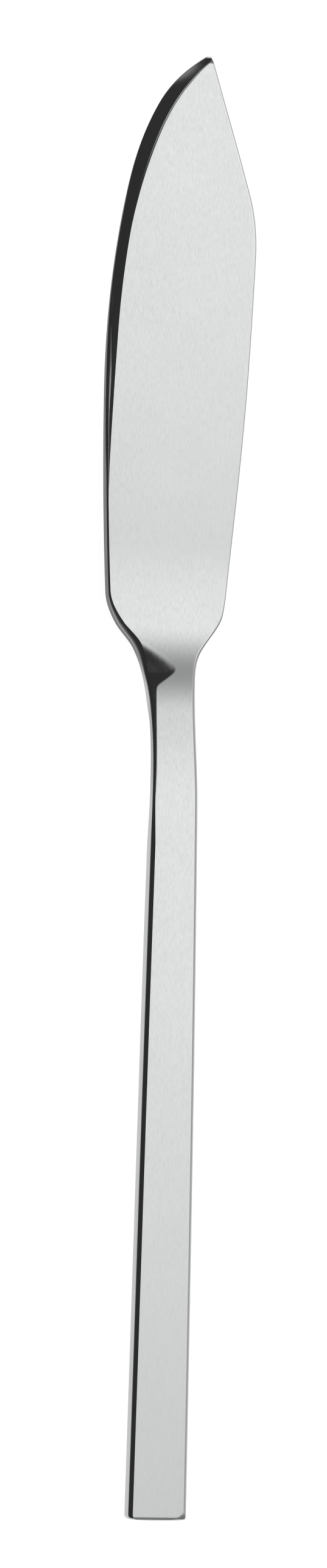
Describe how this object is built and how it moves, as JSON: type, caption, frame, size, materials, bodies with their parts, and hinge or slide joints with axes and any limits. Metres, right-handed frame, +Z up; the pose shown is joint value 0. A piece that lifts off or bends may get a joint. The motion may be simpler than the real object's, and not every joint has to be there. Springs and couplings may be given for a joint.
{
  "type": "fish knife",
  "caption": "Slim fish knife forged in one piece: flat square-edged handle, short neck, wide blunt blade with a pointed nose and a flat ground along its spine.",
  "frame": {"origin": "middle of the knife's outline, on the surface that it lies on", "axes": "+Y from the butt of the handle to the tip, +Z up out of the front face, +X from the spine side to the serving-edge side"},
  "size_m": [0.0216, 0.21, 0.004],
  "materials": {
    "polished_steel": "stainless steel, fine-polished to a soft mirror"
  },
  "bodies": {
    "root": {"fish_knife": "polished_steel"}
  },
  "joints": []
}
